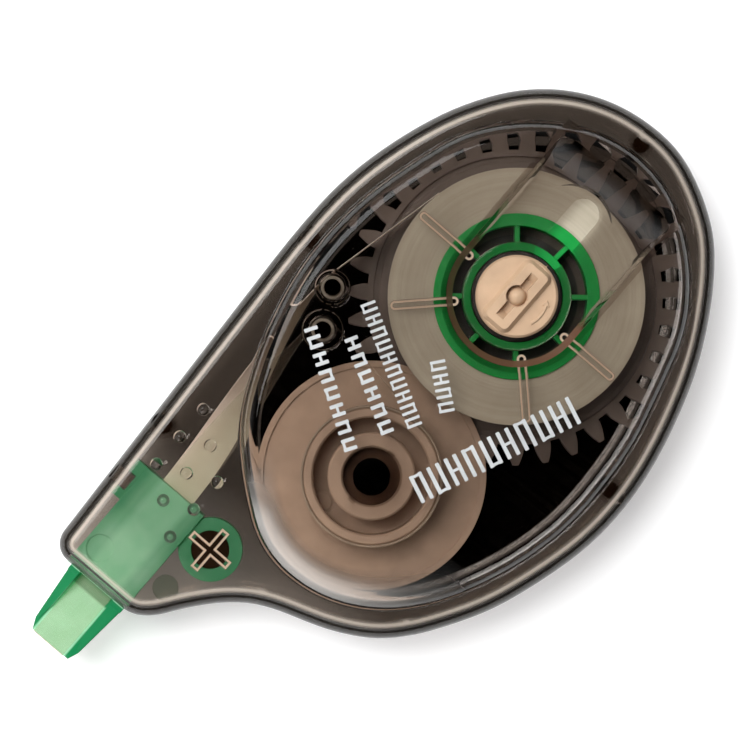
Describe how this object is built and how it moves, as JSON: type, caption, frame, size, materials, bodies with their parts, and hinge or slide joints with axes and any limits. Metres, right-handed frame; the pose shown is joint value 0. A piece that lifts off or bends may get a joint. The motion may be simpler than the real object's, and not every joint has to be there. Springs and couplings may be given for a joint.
{
  "type": "correction tape roller",
  "caption": "Handheld correction tape dispenser: smoke-clear teardrop case, geared supply and take-up reels, tension knob, guide sleeves and a green applicator tip.",
  "frame": {"origin": "on the supply reel's axis, in the plane of the back face that the case rests on", "axes": "+Z out through the front cover; -X towards the applicator tip, along the length; +Y across the case, towards its straighter long side"},
  "size_m": [0.0859, 0.0469, 0.0134],
  "materials": {
    "smoke_clear": "polished smoke-tinted clear styrene",
    "black_label": "smooth black film",
    "dark_taupe": "satin moulded, dark brown grey",
    "beige": "satin moulded, warm beige",
    "ring_rubber": "black rubber",
    "green_core": "satin moulded, mid green",
    "tape": "matt off-white coating",
    "film": "translucent carrier film",
    "sleeve": "natural white, polished",
    "green_clear": "polished translucent green"
  },
  "bodies": {
    "case": {"front_cover": "smoke_clear", "back_cover": "smoke_clear", "back_label": "black_label", "tip_head": "green_clear", "tape_feed_run": "tape", "tape_return_run": "film"},
    "drive": {"drive_gear": "dark_taupe", "tension_knob": "beige", "clutch_ring": "ring_rubber"},
    "supply": {"supply_core": "green_core", "supply_tape_roll": "tape"},
    "take_up": {"take_up_reel": "beige", "take_up_gear": "dark_taupe", "take_up_film_roll": "film"},
    "upper_guide": {"upper_guide_sleeve": "sleeve"},
    "lower_guide": {"lower_guide_sleeve": "sleeve"}
  },
  "joints": [
    {"name": "drive_turn", "type": "hinge", "parent": "case", "child": "drive", "pos_m": [0, 0, 0.0037], "axis": [0, 0, 1], "continuous": true},
    {"name": "clutch_slip", "type": "hinge", "parent": "drive", "child": "supply", "pos_m": [0, 0, 0.0077], "axis": [0, 0, 1], "continuous": true},
    {"name": "take_up_turn", "type": "hinge", "parent": "case", "child": "take_up", "pos_m": [-0.0251, -0.0008, 0.0037], "axis": [0, 0, 1], "continuous": true},
    {"name": "upper_guide_turn", "type": "hinge", "parent": "case", "child": "upper_guide", "pos_m": [-0.0123, 0.0158, 0.0077], "axis": [0, 0, 1], "continuous": true},
    {"name": "lower_guide_turn", "type": "hinge", "parent": "case", "child": "lower_guide", "pos_m": [-0.0165, 0.0136, 0.0077], "axis": [0, 0, 1], "continuous": true}
  ],
  "couplings": [
    {"joint": "take_up_turn", "follows": "drive_turn", "ratio": -2.3333}
  ]
}
